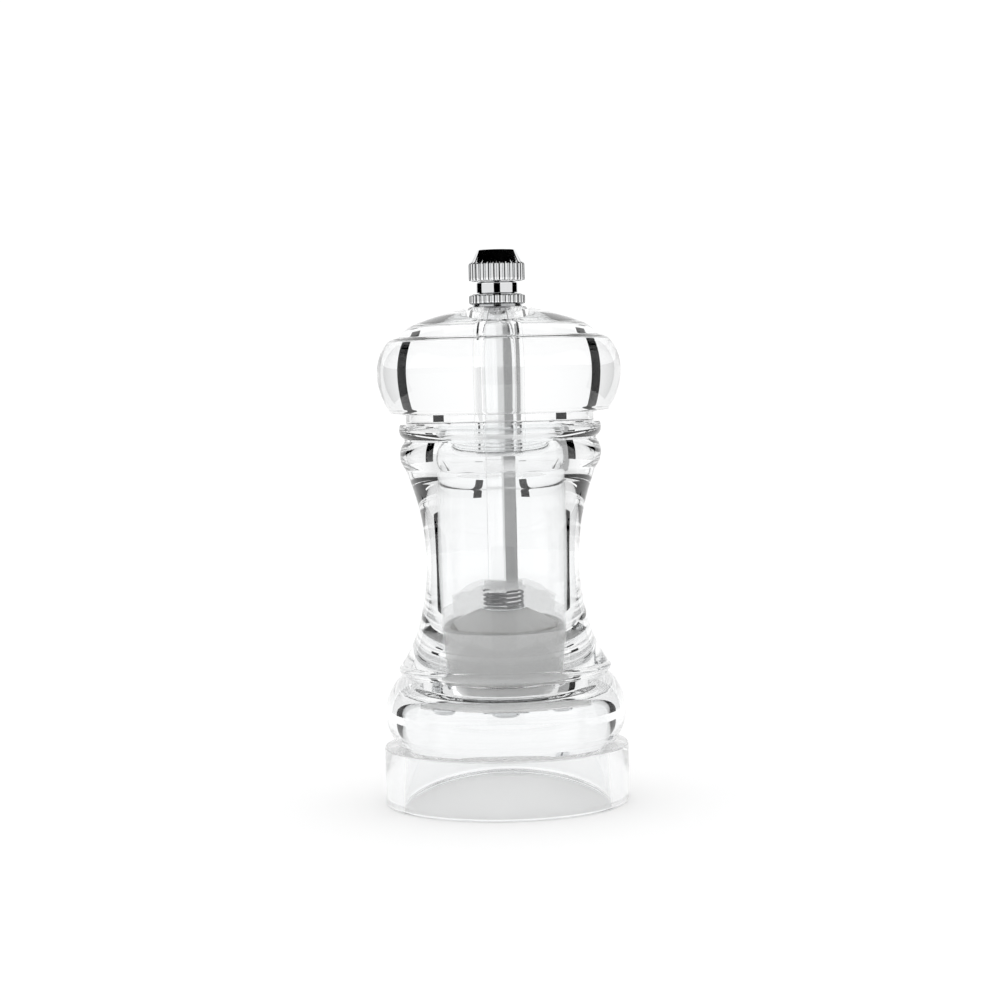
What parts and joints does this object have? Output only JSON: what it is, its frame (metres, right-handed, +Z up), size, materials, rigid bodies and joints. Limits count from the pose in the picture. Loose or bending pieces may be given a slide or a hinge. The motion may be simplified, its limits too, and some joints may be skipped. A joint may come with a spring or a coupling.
{
  "type": "pepper mill",
  "caption": "Hand pepper mill with a clear waisted body, a turning head on a square spindle, a burr set in the foot and a knob that sets the grind.",
  "frame": {"origin": "centre of the foot's underside, on the table", "axes": "+Z up along the mill's axis, towards the knob; -Y is the front; +X is to the right seen from the front"},
  "size_m": [0.047, 0.047, 0.106],
  "materials": {
    "acrylic": "polished clear acrylic",
    "chrome": "bright chrome plate",
    "spindle_steel": "drawn square bar",
    "bright_steel": "zinc plated",
    "spring_steel": "drawn wire",
    "ceramic": "unglazed fine ceramic",
    "white_plastic": "moulded translucent white"
  },
  "bodies": {
    "base": {"body": "acrylic", "feed_bridge": "white_plastic", "burr_housing": "white_plastic", "stator_burr": "ceramic", "retaining_plate": "white_plastic", "housing_screws": "bright_steel"},
    "carriage": {"spindle_collar": "white_plastic", "spring": "spring_steel"},
    "head": {"head": "acrylic", "drive_bush": "bright_steel"},
    "knob": {"knob": "chrome", "knob_washer": "bright_steel"},
    "spindle": {"shaft": "spindle_steel", "rotor_burr": "ceramic", "rotor_washer": "bright_steel", "rotor_screw": "bright_steel", "spring_washer": "bright_steel"}
  },
  "joints": [
    {"name": "mill_turn", "type": "hinge", "parent": "base", "child": "carriage", "pos_m": [0, 0, 0.0417], "axis": [0, 0, 1], "continuous": true},
    {"name": "head_lift", "type": "slide", "parent": "carriage", "child": "head", "axis": [0, 0, 1], "range_m": [0, 0.045]},
    {"name": "knob_turn", "type": "hinge", "parent": "head", "child": "knob", "pos_m": [0, 0, 0.1], "axis": [0, 0, 1], "range_deg": [-450.5, 450.5]},
    {"name": "spindle_travel", "type": "slide", "parent": "carriage", "child": "spindle", "axis": [0, 0, 1], "range_m": [-0.00088, 0.00088], "deforming": ["spring"]}
  ],
  "couplings": [
    {"joint": "knob_turn", "follows": "spindle_travel", "rad_per_m": -8976}
  ]
}
